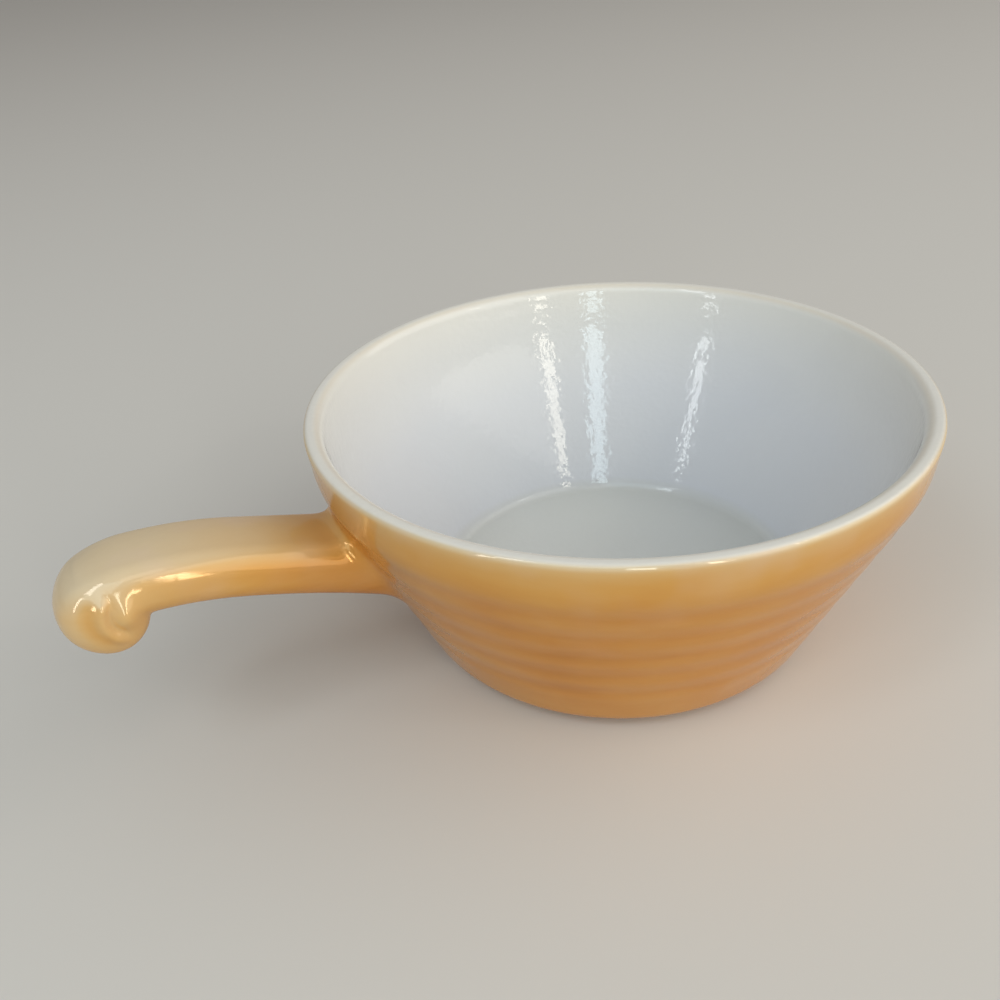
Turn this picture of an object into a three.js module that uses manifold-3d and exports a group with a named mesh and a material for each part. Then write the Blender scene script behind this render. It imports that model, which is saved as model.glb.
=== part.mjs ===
// Handled ramekin in pressed opal glass: a ringed bowl with a stick handle that ends in a scroll.
// Millimetres, +Z up along the bowl's axis, origin at the centre of the foot at table level.
// The handle points along -X.
import * as THREE from 'three';
import { mergeVertices } from 'three/addons/utils/BufferGeometryUtils.js';
import Module from 'manifold-3d';

// Bowl, outside
const RIM_DIAMETER = 127;
const HEIGHT = 54;
const BAND_HEIGHT = 8.4;
const BAND_TAPER = 0.9;
const BREAK_RADIUS = 20;
const BASE_DIAMETER = 84.4;
const BASE_EDGE_RADIUS = 8;
const FOOT_RING_WIDTH = 6;
const FOOT_RECESS = 0.6;

// Bowl, inside
const WALL = 3.5;
const FLOOR = 5;
const LIP_RADIUS = 1.5;
const INNER_BREAK_RADIUS = 20;
const FLOOR_EDGE_RADIUS = 3;

// Rings pressed into the sloping wall, measured along it
const RING_PITCH = 7.35;
const RING_DEPTH = 0.35;
const FIRST_RING = 4.6;

// Handle, in its side view
const HANDLE_OVERHANG = 49.5;
const HANDLE_BELOW_RIM = 6.5;
const HANDLE_THICKNESS = 10.6;
const RISE_ANGLE = 15.5;
const ARCH_RADIUS = 77.5;
const BEND_RADIUS = 23;
const BEND_ANGLE = 22;
const SCROLL_RADIUS = 7.7;

// Handle, across
const HANDLE_WIDTH = 18.5;
const HANDLE_EDGE_RADIUS = 4.8;
const LARGEST_EDGE_SHARE = 0.46;
const LARGEST_BEND_SHARE = 0.9;

// Root, where the handle spreads all round to meet the wall
const ROOT_SPREAD = 4;
const ROOT_REACH = 5.5;
const ROOT_CLEARANCE = 0.3;

// Groove round the eye of the scroll, on both sides
const EYE_OFFSET = 2.6;
const EYE_LIFT = 0.8;
const EYE_RADIUS = 4.4;
const GROOVE_RADIUS = 1.2;
const GROOVE_LIFT = 0.36;
const GROOVE_RUN_OUT = 4;
const GROOVE_START = 125;
const GROOVE_END = -80;

// Glossy glass, a warm peach under the lustre
const GLASS_ROUGHNESS = 0.12;
const BOWL_COLOUR = 0xc8925a;
const HANDLE_COLOUR = 0xcc9c66;

// Fineness of the facets
const TURN_SEGMENTS = 56;
const ARC_STEPS = 5;
const RING_STEPS = 4;
const ROOT_STEPS = 16;
const GROOVE_STEPS = 20;
const GROOVE_SIDES = 8;

const wasm = await Module();
wasm.setup();

// the band leans outwards, so its sharp corner lies a little outside the widest point of the rounded lip
const rimRadius = RIM_DIAMETER / 2;
const bandLean = Math.atan2(BAND_TAPER, BAND_HEIGHT);
const rimCorner = rimRadius + LIP_RADIUS * (1 / Math.tan(Math.PI / 4 - bandLean / 2) - 1);
const bandFoot = new THREE.Vector2(rimCorner - BAND_TAPER, HEIGHT - BAND_HEIGHT);
const baseCorner = new THREE.Vector2(BASE_DIAMETER / 2, 0);
const wallAngle = Math.atan2(bandFoot.x - baseCorner.x, bandFoot.y);

const radians = THREE.MathUtils.degToRad;
const wallRadius = (z) => baseCorner.x + (bandFoot.x - baseCorner.x) * (z / bandFoot.y);

// Replaces each corner that has a radius by a tangent arc. A corner is [x, y, radius].
function roundCorners(corners) {
  const points = [];
  corners.forEach(([x, y, radius], i) => {
    const corner = new THREE.Vector2(x, y);
    if (!radius) {
      points.push(corner);
      return;
    }
    const back = new THREE.Vector2(...corners.at(i - 1)).sub(corner).normalize();
    const ahead = new THREE.Vector2(...corners[(i + 1) % corners.length]).sub(corner).normalize();
    const half = Math.acos(THREE.MathUtils.clamp(back.dot(ahead), -1, 1)) / 2;
    const middle = back.clone().add(ahead).normalize();
    const centre = corner.clone().addScaledVector(middle, radius / Math.sin(half));
    const from = corner.clone().addScaledVector(back, radius / Math.tan(half)).sub(centre);
    const to = corner.clone().addScaledVector(ahead, radius / Math.tan(half)).sub(centre);
    const sweep = Math.atan2(from.cross(to), from.dot(to));
    for (let k = 0; k <= ARC_STEPS; k++) {
      const arm = from.clone().rotateAround(new THREE.Vector2(), (sweep * k) / ARC_STEPS);
      points.push(centre.clone().add(arm));
    }
  });
  return points;
}

// Adds the shallow rings to the straight stretch of the sloping wall that starts at the given point.
function addRings(points, low) {
  const start = points[low];
  const along = points[low + 1].clone().sub(start).normalize();
  const inward = new THREE.Vector2(-along.y, along.x);
  const first = start.distanceTo(bandFoot) - FIRST_RING;
  const count = Math.floor(first / RING_PITCH);
  const ringed = [];
  for (let k = count * RING_STEPS; k >= 0; k--) {
    const at = first - (k * RING_PITCH) / RING_STEPS;
    const depth = RING_DEPTH * (0.5 + 0.5 * Math.cos((2 * Math.PI * k) / RING_STEPS));
    ringed.push(start.clone().addScaledVector(along, at).addScaledVector(inward, depth));
  }
  points.splice(low + 1, 0, ...ringed);
  return points;
}

function latheAboutZ(points) {
  return new THREE.LatheGeometry(points, TURN_SEGMENTS).rotateX(Math.PI / 2);
}

function bowlGeometry() {
  const lipInside = rimRadius - WALL;
  const breakHeight = bandFoot.y - WALL * Math.tan(wallAngle / 2);
  const innerBreak = [bandFoot.x - WALL, breakHeight, INNER_BREAK_RADIUS];
  const floorCorner = [wallRadius(FLOOR) - WALL / Math.cos(wallAngle), FLOOR, FLOOR_EDGE_RADIUS];
  const footFlat = baseCorner.x - BASE_EDGE_RADIUS * Math.tan((Math.PI / 2 - wallAngle) / 2);
  const ringInside = footFlat - FOOT_RING_WIDTH;
  const underside = [
    [0, FOOT_RECESS, 0],
    [ringInside - FOOT_RECESS, FOOT_RECESS, 0],
    [ringInside, 0, 0],
  ];
  const outside = [
    [baseCorner.x, 0, BASE_EDGE_RADIUS],
    [bandFoot.x, bandFoot.y, BREAK_RADIUS],
    [rimCorner, HEIGHT, LIP_RADIUS],
  ];
  const inside = [
    [lipInside, HEIGHT, LIP_RADIUS],
    innerBreak,
    floorCorner,
    [0, FLOOR, 0],
  ];
  const profile = roundCorners([...underside, ...outside, ...inside]);
  return latheAboutZ(addRings(profile, underside.length + ARC_STEPS));
}

// Side view of the handle. Here x is the distance from the bowl's axis and y is the height.
const rise = radians(RISE_ANGLE);
const bend = radians(BEND_ANGLE);
const tip = rimRadius + HANDLE_OVERHANG;
const crest = new THREE.Vector2(
  tip - SCROLL_RADIUS - (BEND_RADIUS - SCROLL_RADIUS) * Math.sin(bend),
  HEIGHT - HANDLE_BELOW_RIM,
);
const archCentre = new THREE.Vector2(crest.x, crest.y - ARCH_RADIUS);
const bendCentre = new THREE.Vector2(crest.x, crest.y - BEND_RADIUS);
const scrollCentre = new THREE.Vector2(Math.sin(bend), Math.cos(bend))
  .multiplyScalar(BEND_RADIUS - SCROLL_RADIUS)
  .add(bendCentre);
const undersideRadius = ARCH_RADIUS - HANDLE_THICKNESS;
const edgeRadius = Math.min(
  HANDLE_EDGE_RADIUS,
  LARGEST_EDGE_SHARE * HANDLE_THICKNESS,
  LARGEST_EDGE_SHARE * HANDLE_WIDTH,
);

// Directions in the side view are angles counted from straight up, clockwise, in radians.
const direction = (angle) => new THREE.Vector2(Math.sin(angle), Math.cos(angle));

// The handle's rounded section, across and up from its middle, with the outward normal at each point.
function sectionPoints(thickness) {
  const half = new THREE.Vector2(HANDLE_WIDTH, thickness).divideScalar(2);
  const edge = Math.min(HANDLE_EDGE_RADIUS, 2 * LARGEST_EDGE_SHARE * Math.min(half.x, half.y));
  const inner = half.clone().subScalar(edge);
  const outline = roundCorners([
    [-half.x, -half.y, edge],
    [half.x, -half.y, edge],
    [half.x, half.y, edge],
    [-half.x, half.y, edge],
  ]);
  return outline.map((point) => {
    const core = point.clone().clamp(inner.clone().negate(), inner);
    return { point, normal: point.clone().sub(core).normalize() };
  });
}

// Sections along the middle of the handle, from inside the bowl's wall to the scroll.
function shankStations() {
  const stations = [];
  const middle = HANDLE_THICKNESS / 2;
  const along = new THREE.Vector2(Math.cos(rise), Math.sin(rise));
  const archStart = direction(-rise).multiplyScalar(ARCH_RADIUS - middle).add(archCentre);
  const wallSlope = Math.tan(wallAngle);
  const toWall = (archStart.x - wallRadius(archStart.y)) / (along.x - wallSlope * along.y);
  const deepest = -(middle + ROOT_SPREAD);
  const furthest = HANDLE_THICKNESS + ROOT_REACH;
  for (let k = 0; k <= ROOT_STEPS; k++) {
    const fromWall = THREE.MathUtils.lerp(deepest, furthest, k / ROOT_STEPS);
    const centre = archStart.clone().addScaledVector(along, fromWall - toWall);
    stations.push({ centre, angle: -rise, thickness: HANDLE_THICKNESS });
  }
  for (let k = 0; k <= ARC_STEPS; k++) {
    const angle = -rise * (1 - k / ARC_STEPS);
    const centre = direction(angle).multiplyScalar(ARCH_RADIUS - middle).add(archCentre);
    stations.push({ centre, angle, thickness: HANDLE_THICKNESS });
  }
  const thickness = Math.min(HANDLE_THICKNESS, LARGEST_BEND_SHARE * BEND_RADIUS);
  for (let k = 1; k <= ARC_STEPS; k++) {
    const angle = (bend * k) / ARC_STEPS;
    const centre = direction(angle).multiplyScalar(BEND_RADIUS - thickness / 2).add(bendCentre);
    stations.push({ centre, angle, thickness });
  }
  return stations;
}

// One section of the handle in the side view's frame, spread more and more where it nears the wall.
function sectionRing({ centre, angle, thickness }) {
  const up = direction(angle);
  return sectionPoints(thickness).map(({ point, normal }) => {
    const place = centre.clone().addScaledVector(up, point.y);
    const wall = wallRadius(place.y + normal.y * ROOT_SPREAD);
    const gap = Math.hypot(place.x, point.x) - wall;
    const near = THREE.MathUtils.clamp(1 - gap / ROOT_REACH, 0, 1);
    const spread = ROOT_SPREAD * near ** 2;
    place.addScaledVector(up, spread * normal.y);
    return new THREE.Vector3(place.x, place.y, point.x + spread * normal.x);
  });
}

// A closed skin over rings of equally many points, with flat ends.
function loftGeometry(rings) {
  const count = rings[0].length;
  const last = (rings.length - 1) * count;
  const index = [];
  for (let start = 0; start < last; start += count) {
    for (let k = 0; k < count; k++) {
      const a = start + k;
      const b = start + ((k + 1) % count);
      index.push(a, a + count, b + count, a, b + count, b);
    }
  }
  for (let k = 1; k + 1 < count; k++) {
    index.push(0, k, k + 1);
    index.push(last, last + k + 1, last + k);
  }
  const geometry = new THREE.BufferGeometry().setFromPoints(rings.flat());
  return geometry.setIndex(index);
}

// Turns side-view coordinates into the part's frame: out along -X, up along +Z, across along Y.
const sideToPart = new THREE.Matrix4().makeBasis(
  new THREE.Vector3(-1, 0, 0),
  new THREE.Vector3(0, 0, 1),
  new THREE.Vector3(0, 1, 0),
);

function shankGeometry() {
  return loftGeometry(shankStations().map(sectionRing)).applyMatrix4(sideToPart);
}

// The scroll is a thick disc with the same round edges as the shank.
function scrollGeometry() {
  const half = HANDLE_WIDTH / 2;
  const disc = latheAboutZ(roundCorners([
    [0, -half, 0],
    [SCROLL_RADIUS, -half, edgeRadius],
    [SCROLL_RADIUS, half, edgeRadius],
    [0, half, 0],
  ]));
  return disc.translate(scrollCentre.x, scrollCentre.y, 0).applyMatrix4(sideToPart);
}

// Half the handle's width at a point of its side view, as its rounded edges leave it.
function halfWidthAt(point) {
  const inScroll = SCROLL_RADIUS - point.distanceTo(scrollCentre);
  const fromArch = point.distanceTo(archCentre);
  const inShank = Math.min(ARCH_RADIUS - fromArch, fromArch - undersideRadius);
  const lack = Math.max(0, edgeRadius - Math.max(inScroll, inShank, 0));
  return HANDLE_WIDTH / 2 - edgeRadius + Math.sqrt(edgeRadius ** 2 - lack ** 2);
}

// A round-bottomed groove that runs round the eye of the scroll on one side of the handle.
function grooveGeometry(side) {
  const eye = new THREE.Vector2(scrollCentre.x - EYE_OFFSET, scrollCentre.y + EYE_LIFT);
  const route = [];
  for (let k = 0; k <= GROOVE_STEPS; k++) {
    const angle = radians(THREE.MathUtils.lerp(GROOVE_START, GROOVE_END, k / GROOVE_STEPS));
    const arm = new THREE.Vector2(Math.cos(angle), Math.sin(angle));
    const point = eye.clone().addScaledVector(arm, EYE_RADIUS);
    const fromMiddle = Math.abs((2 * k) / GROOVE_STEPS - 1);
    const lift = GROOVE_LIFT + GROOVE_RADIUS * fromMiddle ** GROOVE_RUN_OUT;
    route.push(new THREE.Vector3(point.x, point.y, side * (halfWidthAt(point) + lift)));
  }
  const circle = new THREE.EllipseCurve(0, 0, GROOVE_RADIUS, GROOVE_RADIUS);
  const section = new THREE.Shape(circle.getPoints(GROOVE_SIDES));
  const geometry = new THREE.ExtrudeGeometry(section, {
    steps: 2 * GROOVE_STEPS,
    bevelEnabled: false,
    extrudePath: new THREE.CatmullRomCurve3(route),
  });
  return geometry.applyMatrix4(sideToPart);
}

// The space that the bowl and the clearance round it fill, without the hollow and the round base edge.
function bowlEnvelope() {
  const grow = ROOT_CLEARANCE / Math.cos(wallAngle);
  const below = -BASE_EDGE_RADIUS;
  const above = HEIGHT + HANDLE_THICKNESS;
  return latheAboutZ(roundCorners([
    [0, below, 0],
    [wallRadius(below) + grow, below, 0],
    [bandFoot.x + grow, bandFoot.y, BREAK_RADIUS],
    [rimCorner + grow, HEIGHT, 0],
    [rimCorner + grow, above, 0],
    [0, above, 0],
  ]));
}

function toSolid(geometry) {
  geometry.deleteAttribute('normal');
  geometry.deleteAttribute('uv');
  const merged = mergeVertices(geometry);
  return new wasm.Manifold(new wasm.Mesh({
    numProp: 3,
    vertProperties: new Float32Array(merged.attributes.position.array),
    triVerts: new Uint32Array(merged.index.array),
  }));
}

function toGeometry(solid) {
  const mesh = solid.getMesh();
  const geometry = new THREE.BufferGeometry();
  geometry.setAttribute('position', new THREE.BufferAttribute(mesh.vertProperties, 3));
  geometry.setIndex(new THREE.BufferAttribute(mesh.triVerts, 1));
  geometry.computeVertexNormals();
  return geometry;
}

function handleGeometry() {
  const solid = toSolid(shankGeometry())
    .add(toSolid(scrollGeometry()))
    .subtract(toSolid(bowlEnvelope()))
    .subtract(toSolid(grooveGeometry(1)))
    .subtract(toSolid(grooveGeometry(-1)));
  return toGeometry(solid);
}

function subPart(name, geometry, color) {
  const material = new THREE.MeshStandardMaterial({ color, roughness: GLASS_ROUGHNESS, metalness: 0 });
  const mesh = new THREE.Mesh(geometry, material);
  mesh.name = name;
  return mesh;
}

const ramekin = new THREE.Group();
ramekin.add(subPart('bowl', bowlGeometry(), BOWL_COLOUR));
ramekin.add(subPart('handle', handleGeometry(), HANDLE_COLOUR));

export default ramekin;
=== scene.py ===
import math

import bmesh
import bpy
from mathutils import Matrix, Vector


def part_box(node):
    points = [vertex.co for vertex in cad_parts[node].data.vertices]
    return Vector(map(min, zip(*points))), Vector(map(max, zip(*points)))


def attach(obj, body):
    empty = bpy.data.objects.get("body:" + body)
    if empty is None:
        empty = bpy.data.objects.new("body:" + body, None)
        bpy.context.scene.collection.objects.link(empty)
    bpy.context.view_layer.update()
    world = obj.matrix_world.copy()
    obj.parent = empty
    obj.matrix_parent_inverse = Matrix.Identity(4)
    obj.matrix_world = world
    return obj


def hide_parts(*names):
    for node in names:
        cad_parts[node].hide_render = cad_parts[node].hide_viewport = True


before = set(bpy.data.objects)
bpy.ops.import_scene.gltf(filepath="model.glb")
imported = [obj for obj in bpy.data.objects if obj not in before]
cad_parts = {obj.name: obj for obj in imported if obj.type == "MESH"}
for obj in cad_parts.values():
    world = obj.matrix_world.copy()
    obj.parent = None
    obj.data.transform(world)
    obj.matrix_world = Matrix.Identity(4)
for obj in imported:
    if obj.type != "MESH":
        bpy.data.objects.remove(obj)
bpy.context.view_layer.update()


# Bowl
# One pressing of opaque white opal glass. A plunger shapes the smooth inside and the round lip, and the
# mould shapes the plain band and the shallow rings outside. A film of lustre is sprayed on the outside
# and fired: it starts on the lip's outer shoulder, and the inside stays white.

mm = 0.001
bowl_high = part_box("bowl")[1]
rim_radius = bowl_high[0]
height = bowl_high[2]
band_height = 8.4 * mm
band_taper = 0.9 * mm
base_radius = 42.2 * mm
base_edge = 8.0 * mm
foot_ring = 6.0 * mm
foot_recess = 0.6 * mm
foot_edge = 0.5 * mm
wall = 3.5 * mm
floor_height = 5.0 * mm
floor_radius = 40.2 * mm
floor_edge = 2.0 * mm
well_slope = 0.543
well_dish = 0.00178 / mm
inner_break = 41.0 * mm
inner_band_slope = 0.21
lip_outside = 1.0 * mm
lip_inside = 2.2 * mm
break_softness = 0.33 * mm
top_groove = 41.5 * mm
ring_pitch = 6.7 * mm
ring_count = 5
ring_depth = 0.15 * mm

band_lean = math.atan2(band_taper, band_height)
rim_corner = rim_radius + lip_outside * (math.tan(band_lean) + 1 / math.cos(band_lean) - 1)
band_foot = Vector((rim_corner - band_taper, height - band_height))
wall_lean = math.atan2(band_foot.x - base_radius, band_foot.y)
wall_slope = math.tan(wall_lean)
foot_flat = base_radius - base_edge * math.tan((math.pi / 2 - wall_lean) / 2)
ring_inside = foot_flat - foot_ring


def soft_least(a, b, softness):
    """The smaller of two values, with a smooth change from one to the other."""
    return min(a, b) - softness * math.log1p(math.exp(-abs(a - b) / softness))


def ring_dip(z):
    """How far the rings lie below the plain wall at this height."""
    turns = (top_groove - z) / ring_pitch
    if not -0.5 < turns < ring_count - 0.5:
        return 0.0
    return ring_depth * (0.5 + 0.5 * math.cos(math.tau * turns))


def outer_radius(z):
    """The outside at this height: a cone with rings, and a steeper band above it."""
    cone = base_radius + wall_slope * z
    band = rim_corner - band_taper * (height - z) / band_height
    return soft_least(cone, band, break_softness) - ring_dip(z)


def inner_radius(z):
    """The inside at this height: a slightly dished cone, and a steeper band above it."""
    above_floor = z - floor_height
    dished = floor_radius + well_slope * above_floor - well_dish * above_floor ** 2
    band = rim_corner - wall - inner_band_slope * (height - z)
    return soft_least(dished, band, break_softness)


def round_corner(bm, corner, radius, segments):
    """Rounds one corner of an outline of bare edges."""
    sides = [(edge.other_vert(corner).co - corner.co).normalized() for edge in corner.link_edges]
    half = sides[0].angle(sides[1]) / 2
    bmesh.ops.bevel(
        bm, geom=[corner], offset=radius / math.tan(half), offset_type="OFFSET", affect="VERTICES",
        segments=segments, profile=0.5, material=-1)


# the outline from the middle of the underside round the lip to the middle of the floor: each corner's
# radius and height, the radius that rounds it and the segments of that rounding
outline = (
    (0.0, foot_recess, 0.0, 0),
    (ring_inside - foot_recess, foot_recess, foot_edge, 3),
    (ring_inside, 0.0, foot_edge, 3),
    (base_radius, 0.0, base_edge, 12),
    (band_foot.x, band_foot.y, 0.0, 0),
    (rim_corner, height, lip_outside, 8),
    (rim_corner - wall, height, lip_inside, 10),
    (inner_radius(inner_break), inner_break, 0.0, 0),
    (floor_radius, floor_height, floor_edge, 8),
    (0.0, floor_height, 0.0, 0),
)
bm = bmesh.new()
corners = [bm.verts.new((radius, 0.0, z)) for radius, z, _, _ in outline]
for pair in zip(corners, corners[1:]):
    bm.edges.new(pair)
for corner, (_, _, rounding, segments) in zip(corners, outline):
    if rounding:
        round_corner(bm, corner, rounding, segments)

# the walls are cut into short steps, which take up the rings and the soft breaks, to a little below the
# rounding of the lip
least_wall = 3.0 * mm
wall_step = 0.55 * mm
lip_room = 1.2
walls = [edge for edge in bm.edges if abs(edge.verts[0].co.z - edge.verts[1].co.z) > least_wall]
for edge in walls:
    bmesh.ops.subdivide_edges(bm, edges=[edge], cuts=round(edge.calc_length() / wall_step))
wall_foot = base_edge * (1 - math.sin(wall_lean))
well_foot = floor_height + floor_edge * (1 - math.sin(math.atan(well_slope)))
for vert in bm.verts:
    z = vert.co.z
    if vert.co.x > inner_radius(z) + wall / 2:
        if wall_foot < z < height - lip_room * lip_outside:
            vert.co.x = outer_radius(z)
    elif well_foot < z < height - lip_room * lip_inside:
        vert.co.x = inner_radius(z)

turn_steps = 192
merge_distance = 0.0001 * mm
bmesh.ops.spin(
    bm, geom=bm.verts[:] + bm.edges[:], cent=(0, 0, 0), axis=(0, 0, 1), dvec=(0, 0, 0),
    angle=math.tau, steps=turn_steps, use_merge=True, use_duplicate=False)
bmesh.ops.remove_doubles(bm, verts=bm.verts[:], dist=merge_distance)
bmesh.ops.recalc_face_normals(bm, faces=bm.faces[:])
for face in bm.faces:
    face.smooth = True


def eased(share):
    """A smooth change from 0 to 1 as the share goes from 0 to 1."""
    share = min(max(share, 0.0), 1.0)
    return share * share * (3 - 2 * share)


# the film starts on the lip's outer shoulder, gets deeper down the wall, and runs out inside the foot
# ring. In the rings it is made a little deeper as painted shade, so that they read darker.
shoulder_film = 0.35
shoulder_fall = 0.9 * mm
wall_film = 0.45
wall_fall = 6.0 * mm
ring_shade_film = 0.07
film_foot = 3.0 * mm
film_and_painted_light = bm.verts.layers.float.new("film_and_painted_light")
for vert in bm.verts:
    radius = math.hypot(vert.co.x, vert.co.y)
    z = vert.co.z
    below = height - z
    depth = shoulder_film * (1 - math.exp(-below / shoulder_fall))
    depth += wall_film * (1 - math.exp(-below / wall_fall))
    # painted shade: deeper film, so darker colour, in the grooves of the rings
    depth += ring_shade_film * ring_dip(z) / ring_depth
    if z < wall_foot and radius < floor_radius:
        vert[film_and_painted_light] = depth * eased((radius - ring_inside) / film_foot)
    else:
        vert[film_and_painted_light] = depth * eased((radius - inner_radius(z)) / (wall / 2))

bowl_mesh = bpy.data.meshes.new("bowl")
bm.to_mesh(bowl_mesh)
bm.free()
bowl = bpy.data.objects.new("ramekin_bowl", bowl_mesh)
bpy.context.collection.objects.link(bowl)


def add_node(tree, kind, **settings):
    node = tree.nodes.new(kind)
    for name, value in settings.items():
        setattr(node, name, value)
    return node


def fill(tree, socket, value):
    """Links a socket to another one, or sets it to a plain value."""
    if isinstance(value, bpy.types.NodeSocket):
        tree.links.new(value, socket)
    else:
        socket.default_value = value


def add_math(tree, operation, first, second, clamp=False):
    node = add_node(tree, "ShaderNodeMath", operation=operation, use_clamp=clamp)
    fill(tree, node.inputs[0], first)
    fill(tree, node.inputs[1], second)
    return node.outputs["Value"]


def add_noise(tree, vector, scale, detail):
    """Noise about zero, of up to about a half either way."""
    node = add_node(tree, "ShaderNodeTexNoise")
    node.inputs["Scale"].default_value = scale
    node.inputs["Detail"].default_value = detail
    tree.links.new(vector, node.inputs["Vector"])
    return add_math(tree, "SUBTRACT", node.outputs["Fac"], 0.5)


def add_ramp(tree, value, stops):
    """A colour that follows a value from 0 to 1 through the given stops."""
    node = add_node(tree, "ShaderNodeValToRGB")
    elements = node.color_ramp.elements
    elements[0].position, elements[0].color = stops[0][0], (*stops[0][1], 1.0)
    elements[1].position, elements[1].color = stops[-1][0], (*stops[-1][1], 1.0)
    for position, colour in stops[1:-1]:
        elements.new(position).color = (*colour, 1.0)
    tree.links.new(value, node.inputs["Fac"])
    return node.outputs["Color"]


def add_mix(tree, share, first, second):
    node = add_node(tree, "ShaderNodeMix", data_type="RGBA")
    fill(tree, node.inputs[0], share)
    fill(tree, node.inputs[6], first)
    fill(tree, node.inputs[7], second)
    return node.outputs[2]


# the glass and its lustre, shared by both pieces
lustre = bpy.data.node_groups.new("fired_lustre", "ShaderNodeTree")
for name, kind in (("Place", "NodeSocketVector"), ("Film", "NodeSocketFloat")):
    lustre.interface.new_socket(name, in_out="INPUT", socket_type=kind)
for name, kind in (
        ("Colour", "NodeSocketColor"), ("Metal", "NodeSocketFloat"),
        ("Roughness", "NodeSocketFloat"), ("Height", "NodeSocketFloat")):
    lustre.interface.new_socket(name, in_out="OUTPUT", socket_type=kind)
group_in = add_node(lustre, "NodeGroupInput")
group_out = add_node(lustre, "NodeGroupOutput")
place = group_in.outputs["Place"]

# the film is a little uneven, in clouds and in flat streaks from the spraying
cloud_share = 0.40
streak_share = 0.25
streak_flatness = 5.0
flattened = add_node(lustre, "ShaderNodeMapping")
flattened.inputs["Scale"].default_value = (1.0, 1.0, streak_flatness)
lustre.links.new(place, flattened.inputs["Vector"])
clouds = add_noise(lustre, place, scale=45.0, detail=3.0)
streaks = add_noise(lustre, flattened.outputs["Vector"], scale=70.0, detail=4.0)
unevenness = add_math(
    lustre, "ADD",
    add_math(lustre, "MULTIPLY", clouds, cloud_share),
    add_math(lustre, "MULTIPLY", streaks, streak_share))
# the Film input also holds painted shade, and on the handle a painted highlight, that the pieces put
# into their film attribute
film_depth = add_math(
    lustre, "MULTIPLY",
    group_in.outputs["Film"], add_math(lustre, "ADD", unevenness, 1.0), clamp=True)

# a thin film looks cream, then straw, gold and peach as it gets deeper, with a pink bloom where it is
# thinner
pink_bloom = (0.70, 0.53, 0.44, 1.0)
bloom_gain = 1.6
film_colour = add_ramp(lustre, film_depth, (
    (0.00, (0.71, 0.64, 0.52)),
    (0.15, (0.68, 0.54, 0.35)),
    (0.35, (0.67, 0.41, 0.16)),
    (0.60, (0.65, 0.33, 0.08)),
    (0.85, (0.61, 0.26, 0.045)),
    (1.00, (0.54, 0.21, 0.03))))
bloom_spots = add_math(
    lustre, "MULTIPLY", add_noise(lustre, place, scale=70.0, detail=2.0), bloom_gain, clamp=True)
bloom = add_math(lustre, "MULTIPLY", bloom_spots, add_math(lustre, "SUBTRACT", 1.0, film_depth))
film_colour = add_mix(lustre, bloom, film_colour, pink_bloom)

# bare opal glass is painted with light and shade by height: greyer on the floor as painted shade, cool
# in the well as a painted cool reflection, and lighter and creamy near the lip as painted light, with a
# faint random tint over it
cool_tint = (0.64, 0.66, 0.80, 1.0)
cream_tint = (0.80, 0.76, 0.68, 1.0)
tint_share = 0.20
upright = add_node(lustre, "ShaderNodeSeparateXYZ")
lustre.links.new(place, upright.inputs["Vector"])
up_the_well = add_node(lustre, "ShaderNodeMapRange")
up_the_well.inputs["From Min"].default_value = floor_height
up_the_well.inputs["From Max"].default_value = height
lustre.links.new(upright.outputs["Z"], up_the_well.inputs["Value"])
# painted light and shade in the colour: darker grey floor, cool well, lighter cream towards the lip
opal_colour_with_painted_light = add_ramp(lustre, up_the_well.outputs["Result"], (
    (0.00, (0.62, 0.63, 0.59)),
    (0.06, (0.67, 0.69, 0.725)),
    (0.50, (0.705, 0.715, 0.735)),
    (0.80, (0.745, 0.735, 0.70)),
    (1.00, (0.76, 0.73, 0.65))))
tint_place = add_math(
    lustre, "ADD", add_noise(lustre, place, scale=22.0, detail=2.0), 0.5, clamp=True)
tint = add_mix(lustre, tint_place, cool_tint, cream_tint)
opal_colour_with_painted_light = add_mix(lustre, tint_share, opal_colour_with_painted_light, tint)

# even a thin film hides the opal, and a deep one has some of the sheen of metal
cover_gain = 8.0
film_cover = add_math(lustre, "MULTIPLY", film_depth, cover_gain, clamp=True)
lustre.links.new(add_mix(lustre, film_cover, opal_colour_with_painted_light, film_colour), group_out.inputs["Colour"])
full_metal = 0.32
lustre.links.new(add_math(lustre, "MULTIPLY", film_depth, full_metal), group_out.inputs["Metal"])
glass_roughness = 0.08
film_roughness = 0.08
streak_roughness = 0.08
even_roughness = add_math(
    lustre, "ADD", add_math(lustre, "MULTIPLY", film_depth, film_roughness), glass_roughness)
lustre.links.new(
    add_math(
        lustre, "ADD", even_roughness, add_math(lustre, "MULTIPLY", streaks, streak_roughness)),
    group_out.inputs["Roughness"])

# the mould leaves slow waves, and the plunger fine ripples where the glass is bare
wave_share = 0.4
ripple_share = 0.48
waves = add_math(
    lustre, "MULTIPLY", add_noise(lustre, place, scale=95.0, detail=1.0), wave_share)
ripples = add_math(
    lustre, "MULTIPLY",
    add_noise(lustre, place, scale=620.0, detail=1.0),
    add_math(lustre, "SUBTRACT", ripple_share, film_depth, clamp=True))
lustre.links.new(add_math(lustre, "ADD", waves, ripples), group_out.inputs["Height"])


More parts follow.
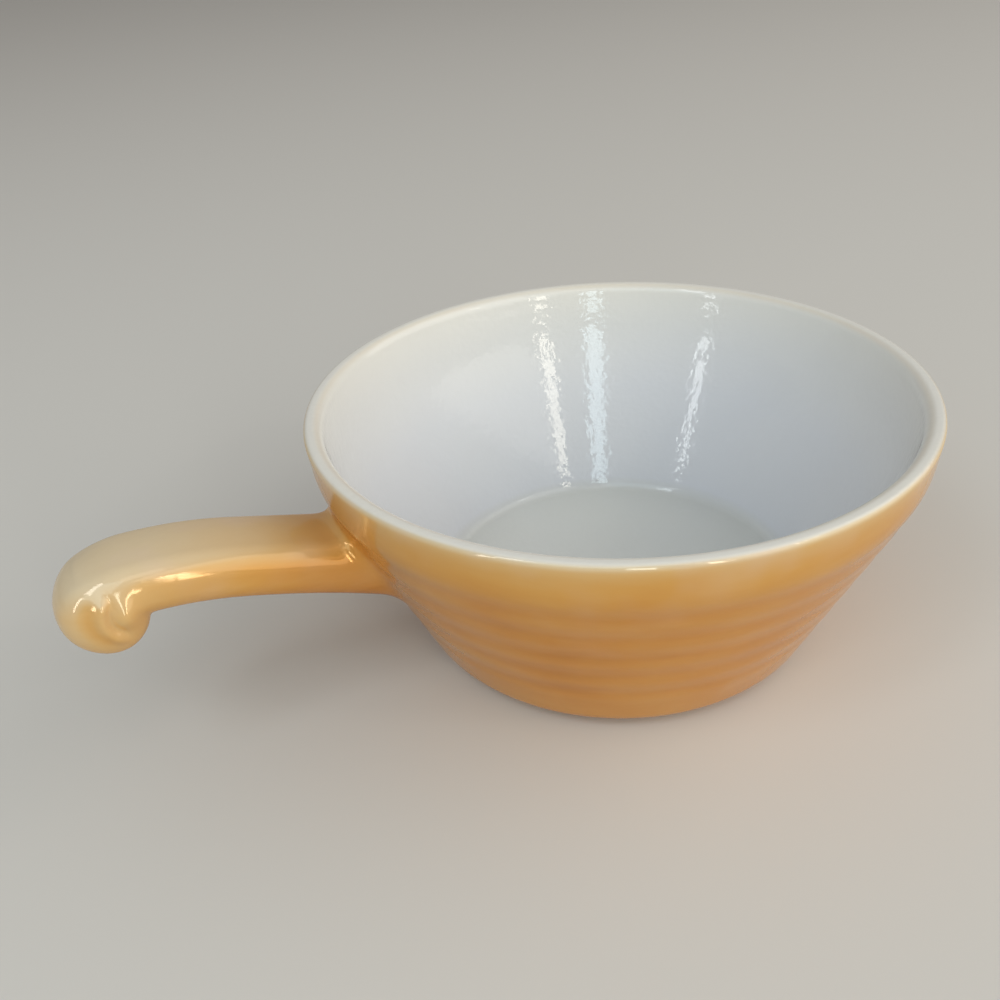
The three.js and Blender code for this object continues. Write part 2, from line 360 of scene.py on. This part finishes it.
def lustre_glass(name, wave_height):
    """Glossy opal glass with the lustre on it, as deep as the piece's film attribute says. The attribute
    also holds painted shade, and on the handle a painted highlight.
    """
    material = bpy.data.materials.new(name)
    material.use_nodes = True
    tree = material.node_tree
    shader = tree.nodes["Principled BSDF"]
    shader.inputs["IOR"].default_value = 1.5
    shader.inputs["Specular IOR Level"].default_value = 0.42
    position = add_node(tree, "ShaderNodeTexCoord")
    film_map = add_node(tree, "ShaderNodeAttribute", attribute_name="film_and_painted_light")
    finish = add_node(tree, "ShaderNodeGroup", node_tree=lustre)
    tree.links.new(position.outputs["Object"], finish.inputs["Place"])
    tree.links.new(film_map.outputs["Fac"], finish.inputs["Film"])
    tree.links.new(finish.outputs["Colour"], shader.inputs["Base Color"])
    tree.links.new(finish.outputs["Metal"], shader.inputs["Metallic"])
    tree.links.new(finish.outputs["Roughness"], shader.inputs["Roughness"])
    relief = add_node(tree, "ShaderNodeBump")
    relief.inputs["Distance"].default_value = wave_height
    tree.links.new(finish.outputs["Height"], relief.inputs["Height"])
    tree.links.new(relief.outputs["Normal"], shader.inputs["Normal"])
    return material


bowl.data.materials.append(lustre_glass("bowl_glass", wave_height=0.12 * mm))
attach(bowl, "root")
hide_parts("bowl")


# Handle
# A solid stick of the same glass, pressed with the bowl. It grows out of the wall in a small fillet,
# arches up and out, and curls under into a scroll with a soft groove round its eye on each side. The
# lustre covers all of it, thinner on the scroll. Along the top it is made thinner and lighter as a
# painted highlight, and on the underside and in the groove deeper and darker as painted shade.

handle_low, handle_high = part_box("handle")
tip_bulge = 0.5 * mm
tip = -handle_low[0] + tip_bulge
crest_height = handle_high[2]
thickness = 10.6 * mm
width = 18.5 * mm
edge_round = 4.7 * mm
edge_segments = 10
crown = 0.3 * mm
rise_angle = math.radians(15.5)
arch = 77.5 * mm
bend = 23.0 * mm
bend_angle = math.radians(22.0)
scroll = 7.9 * mm

crest = tip - scroll - (bend - scroll) * math.sin(bend_angle)
arch_centre = Vector((-crest, 0.0, crest_height - arch))
bend_centre = Vector((-crest, 0.0, crest_height - bend))
bend_end = Vector((-math.sin(bend_angle), 0.0, math.cos(bend_angle)))
scroll_centre = bend_centre + (bend - scroll) * bend_end
inward = Vector((math.cos(rise_angle), 0.0, -math.sin(rise_angle)))
upward = Vector((math.sin(rise_angle), 0.0, math.cos(rise_angle)))
across = Vector((0.0, 1.0, 0.0))
arch_start = arch_centre + upward * (arch - thickness / 2)

# the section at the foot of the arch, with crowned flats
bm = bmesh.new()
bm.faces.new([
    bm.verts.new(arch_start + across * (y * width / 2) + upward * (z * thickness / 2))
    for y, z in ((-1, -1), (1, -1), (1, 1), (-1, 1))])
bmesh.ops.bevel(
    bm, geom=bm.verts[:], offset=edge_round, offset_type="OFFSET", affect="VERTICES",
    segments=edge_segments, profile=0.5, material=-1)
bmesh.ops.delete(bm, geom=bm.faces[:], context="FACES_ONLY")
least_flat = 4.0 * mm
flat_cuts = 9
flats = [edge for edge in bm.edges if edge.calc_length() > least_flat]
bmesh.ops.subdivide_edges(bm, edges=flats, cuts=flat_cuts)
flat_half = width / 2 - edge_round
for vert in bm.verts:
    aside = abs(vert.co.y) / flat_half
    if aside < 1:
        above = (vert.co - arch_start).dot(upward)
        vert.co += upward * math.copysign(crown * (1 - aside ** 2), above)


def only(kind, parts):
    return [part for part in parts if isinstance(part, kind)]


# the arch and the bend, and straight back through the wall
arch_steps = 10
bend_steps = 8
root_step = 0.7 * mm
root_steps = 62
section_edges = bm.edges[:]
arched = bmesh.ops.spin(
    bm, geom=section_edges, cent=arch_centre, axis=across, dvec=(0, 0, 0), angle=-rise_angle,
    steps=arch_steps, use_duplicate=False)
bmesh.ops.spin(
    bm, geom=only(bmesh.types.BMEdge, arched["geom_last"]), cent=bend_centre, axis=across,
    dvec=(0, 0, 0), angle=-bend_angle, steps=bend_steps, use_duplicate=False)
ring = section_edges
for _ in range(root_steps):
    grown = bmesh.ops.extrude_edge_only(bm, edges=ring)["geom"]
    ring = only(bmesh.types.BMEdge, grown)
    bmesh.ops.translate(bm, verts=only(bmesh.types.BMVert, grown), vec=inward * root_step)


def way_to_wall(point):
    """How far the straight line into the bowl runs from this point to the wall's surface."""
    longest_way = 60 * mm
    halvings = 24
    near, far = -longest_way, longest_way
    for _ in range(halvings):
        middle = (near + far) / 2
        at = point + inward * middle
        if math.hypot(at.x, at.y) > outer_radius(at.z):
            near = middle
        else:
            far = middle
    return middle


# the root: the underside drops a little, then each line along the handle turns in a smooth fillet, runs
# out along the wall and goes on just below its surface
root_drop = 1.6 * mm
root_length = 23.7 * mm
fillet = 4.5 * mm
fillet_gain_above = 0.25
hug_power = 3
sink = 0.05 * mm
sink_power = 12
run_on = 2.4 * mm
run_on_depth = 0.7 * mm
core = Vector((flat_half, thickness / 2 - edge_round))
for vert in bm.verts:
    from_start = vert.co - arch_start
    back = from_start.dot(inward)
    if back < 0.001 * mm:
        continue
    y, z = from_start.dot(across), from_start.dot(upward)
    from_core = Vector((y - min(max(y, -core.x), core.x), z - min(max(z, -core.y), core.y)))
    outward = from_core.normalized()
    vert.co += upward * (root_drop * (back / root_length) ** 2 * min(outward.y, 0.0))
    leg = fillet * (1 + fillet_gain_above * outward.y)
    gap = way_to_wall(vert.co)
    if gap > leg:
        continue
    foot = vert.co + inward * gap
    radial = Vector((foot.x, foot.y, 0.0)).normalized()
    wall_normal = radial * math.cos(wall_lean) - Vector((0.0, 0.0, math.sin(wall_lean)))
    along_wall = across * outward.x + upward * outward.y
    along_wall = (along_wall - wall_normal * along_wall.dot(wall_normal)).normalized()
    # the fillet is a parabola whose two legs lie on the handle's line and on the wall
    share = min((leg - gap) / (2 * leg), 1.0)
    beyond = min(max(-leg - gap, 0.0), run_on)
    spot = foot - inward * (leg * (1 - share) ** 2) + along_wall * (leg * share ** 2 + beyond)
    # towards its end it takes the wall's own shape and sinks into it
    proud = math.hypot(spot.x, spot.y) - outer_radius(spot.z)
    sunk = sink * share ** sink_power + run_on_depth * (beyond / run_on) ** 2
    vert.co = spot - radial * (proud * share ** hug_power) - wall_normal * sunk
bmesh.ops.holes_fill(bm, edges=[edge for edge in bm.edges if edge.is_boundary], sides=0)

# the scroll is a thick disc with round edges, sunk into the end of the bend
disc_segments = 96
disc = bmesh.ops.create_cone(
    bm, cap_ends=True, cap_tris=False, segments=disc_segments,
    radius1=scroll, radius2=scroll, depth=width,
    matrix=Matrix.Translation(scroll_centre) @ Matrix.Rotation(math.pi / 2, 4, "X"))
caps = {face for vert in disc["verts"] for face in vert.link_faces if len(face.verts) > 4}
bmesh.ops.bevel(
    bm, geom=[edge for face in caps for edge in face.edges], offset=edge_round, offset_type="OFFSET",
    affect="EDGES", segments=edge_segments, profile=0.5, material=-1)
bmesh.ops.recalc_face_normals(bm, faces=bm.faces[:])

# a remesh joins the shank and the scroll in one skin
skin_grain = 0.32 * mm
handle_mesh = bpy.data.meshes.new("handle")
bm.to_mesh(handle_mesh)
bm.free()
handle = bpy.data.objects.new("ramekin_handle", handle_mesh)
bpy.context.collection.objects.link(handle)
bpy.context.view_layer.objects.active = handle
handle_mesh.remesh_voxel_size = skin_grain
handle_mesh.remesh_voxel_adaptivity = 0.0
bpy.ops.object.voxel_remesh()

# it leaves specks where the skin folds inside the wall: they are not joined to the tip, and go
bm = bmesh.new()
bm.from_mesh(handle_mesh)
joined = set()
reached = [min(bm.verts, key=lambda vert: vert.co.x)]
while reached:
    vert = reached.pop()
    if vert not in joined:
        joined.add(vert)
        reached.extend(edge.other_vert(vert) for edge in vert.link_edges)
bmesh.ops.delete(bm, geom=[vert for vert in bm.verts if vert not in joined], context="VERTS")


def melt(bm, verts, passes):
    """Softens the surface as fire polishing does."""
    for _ in range(passes):
        bmesh.ops.smooth_vert(
            bm, verts=verts, factor=0.5, use_axis_x=True, use_axis_y=True, use_axis_z=True)


# the tip is round as seen from above, the eye swells on each side, the groove is pressed in round it,
# and all of it is fire-polished
tip_round = 2.6 * mm
eye = Vector((102.9 * mm, 40.1 * mm))
eye_radius = 2.9 * mm
eye_rise = 1.7 * mm
groove_radius = 4.8 * mm
groove_half_width = 1.4 * mm
groove_depth = 1.2 * mm
groove_middle = math.radians(-12.0)
groove_reach = math.radians(40.0)
groove_run_out = math.radians(40.0)
side_start = 3.0 * mm
side_full = 7.0 * mm


def groove(arm):
    """How much of its full depth the groove has at the end of this arm from the eye."""
    turn = abs(math.atan2(arm.y, arm.x) - groove_middle)
    run = 1 - eased((turn - groove_reach) / groove_run_out)
    return run * math.exp(-((arm.length - groove_radius) / groove_half_width) ** 2)


melt(bm, bm.verts[:], passes=14)
scroll_start = crest - scroll
scroll_verts = [vert for vert in bm.verts if -vert.co.x >= scroll_start]
for vert in scroll_verts:
    arm = Vector((-vert.co.x, vert.co.z)) - eye
    swell = eye_rise * math.exp(-(arm.length / eye_radius) ** 2)
    on_side = eased((abs(vert.co.y) - side_start) / (side_full - side_start))
    press = (swell - groove_depth * groove(arm)) * on_side
    end_share = eased((-vert.co.x - scroll_start) / (tip - scroll_start))
    vert.co.x += tip_round * end_share * (2 * vert.co.y / width) ** 2
    vert.co.y += math.copysign(press, vert.co.y)
melt(bm, scroll_verts, passes=6)
bm.normal_update()

# the film is deep at the root and thins out towards the tip, sooner along the top than on the sides.
# Faces turned up get the thinner, lighter top film as a painted highlight, and the underside and the
# groove get deeper, darker film as painted shade.
root_reach = 56.0 * mm
top_least = 0.14
top_gain = 0.58
top_fall = 14.0 * mm
side_least = 0.24
side_gain = 0.58
side_fall = 36.0 * mm
underside_shade_gain = 0.15
groove_shade_gain = 0.2
top_from = 0.2
underside_from = 0.1
facing_blend = 0.7
film_and_painted_light = bm.verts.layers.float.new("film_and_painted_light")
for vert in bm.verts:
    out = max(-vert.co.x - root_reach, 0.0)
    top_film_and_highlight = top_least + top_gain * math.exp(-out / top_fall)
    side_film = side_least + side_gain * math.exp(-(out / side_fall) ** 2)
    # painted highlight: faces turned up take the lighter top film
    facing_up_lit = eased((vert.normal.z - top_from) / facing_blend)
    # painted shade: faces turned down take deeper, darker film
    facing_down_shade = eased((-vert.normal.z - underside_from) / facing_blend)
    depth = side_film + (top_film_and_highlight - side_film) * facing_up_lit
    # painted shade: deeper, darker film in the groove round the eye
    groove_shade = groove(Vector((-vert.co.x, vert.co.z)) - eye) * (1 - facing_up_lit)
    vert[film_and_painted_light] = depth + underside_shade_gain * facing_down_shade + groove_shade_gain * groove_shade
for face in bm.faces:
    face.smooth = True
bm.to_mesh(handle_mesh)
bm.free()

handle.data.materials.append(lustre_glass("handle_glass", wave_height=0.10 * mm))
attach(handle, "root")
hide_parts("handle")


# Floor
# A plain pale sheet of paper that the bowl stands on, wide enough to fill the view. It is part of the
# studio and not of the object.

floor_half = 4.0
bm = bmesh.new()
bmesh.ops.create_grid(bm, x_segments=1, y_segments=1, size=floor_half)
floor_mesh = bpy.data.meshes.new("floor")
bm.to_mesh(floor_mesh)
bm.free()
floor = bpy.data.objects.new("floor", floor_mesh)
bpy.context.collection.objects.link(floor)
paper = bpy.data.materials.new("pale_paper")
paper.use_nodes = True
paper_shader = paper.node_tree.nodes["Principled BSDF"]
paper_shader.inputs["Base Color"].default_value = (0.64, 0.62, 0.585, 1.0)
paper_shader.inputs["Roughness"].default_value = 0.8
floor.data.materials.append(paper)


# Light
# An even pale room, a very large soft lamp on the right, one above and a cool panel high on the left. A
# small lamp and tall panels, like windows, draw spots and streaks on the glossy glass.

world = bpy.data.worlds.new("studio")
world.use_nodes = True
room = world.node_tree.nodes["Background"]
room.inputs["Color"].default_value = (1.0, 0.98, 0.95, 1.0)
room.inputs["Strength"].default_value = 0.35
bpy.context.scene.world = world


def add_panel(name, azimuth, elevation, distance, size, watts, colour):
    """A soft panel that faces the bowl. Azimuth 0 is on the -Y side, and it grows towards +X."""
    lamp = bpy.data.lights.new(name, "AREA")
    lamp.shape = "RECTANGLE"
    lamp.size, lamp.size_y = size
    lamp.energy = watts
    lamp.color = colour
    panel = bpy.data.objects.new(name, lamp)
    turn = Matrix.Rotation(math.radians(azimuth), 4, "Z")
    lean_back = Matrix.Rotation(math.radians(90.0 - elevation), 4, "X")
    panel.matrix_world = turn @ lean_back @ Matrix.Translation((0.0, 0.0, distance))
    bpy.context.collection.objects.link(panel)


add_panel(
    "soft_lamp", azimuth=50.0, elevation=32.0, distance=2.0, size=(3.4, 2.2),
    watts=29.0, colour=(1.0, 0.96, 0.89))
add_panel(
    "top_lamp", azimuth=-12.0, elevation=62.0, distance=1.4, size=(0.4, 0.4),
    watts=0.5, colour=(1.0, 0.99, 0.96))
add_panel(
    "cool_panel", azimuth=-50.0, elevation=46.0, distance=1.4, size=(0.9, 0.75),
    watts=2.8, colour=(0.62, 0.86, 1.0))
add_panel(
    "small_lamp", azimuth=37.0, elevation=36.0, distance=1.3, size=(0.10, 0.10),
    watts=0.5, colour=(1.0, 0.97, 0.90))
add_panel(
    "window_near", azimuth=2.0, elevation=18.0, distance=1.3, size=(0.11, 0.70),
    watts=2.0, colour=(1.0, 0.95, 0.82))
add_panel(
    "window_middle", azimuth=-21.0, elevation=18.0, distance=1.3, size=(0.17, 0.70),
    watts=2.2, colour=(0.74, 0.93, 1.0))
add_panel(
    "window_left", azimuth=-72.0, elevation=18.0, distance=1.3, size=(0.08, 0.70),
    watts=1.4, colour=(0.93, 0.98, 1.0))
add_panel(
    "window_high", azimuth=-72.0, elevation=52.0, distance=1.3, size=(0.20, 0.42),
    watts=1.1, colour=(0.93, 0.97, 1.0))


# Camera
# Placed as the photograph was taken: close, from above, with the handle turned towards it. Pan, tilt and
# roll set the bowl where it stands in that picture.

camera_distance = 234.45 * mm
camera_azimuth = math.radians(-30.0)
camera_elevation = math.radians(37.368)
camera_pan = math.radians(6.578)
camera_tilt = math.radians(5.489)
camera_roll = math.radians(0.428)
camera_data = bpy.data.cameras.new("camera")
camera_data.sensor_fit = "HORIZONTAL"
camera_data.sensor_width = 36.0
camera_data.lens = 35.68
camera_data.clip_start = 0.01
camera_data.clip_end = 20.0
camera = bpy.data.objects.new("camera", camera_data)
camera.matrix_world = (
    Matrix.Rotation(camera_azimuth, 4, "Z")
    @ Matrix.Rotation(math.pi / 2 - camera_elevation, 4, "X")
    @ Matrix.Translation((0.0, 0.0, camera_distance))
    @ Matrix.Rotation(camera_pan, 4, "Y")
    @ Matrix.Rotation(camera_tilt, 4, "X")
    @ Matrix.Rotation(camera_roll, 4, "Z"))
bpy.context.collection.objects.link(camera)
bpy.context.scene.camera = camera
bpy.context.scene.view_settings.view_transform = "Standard"
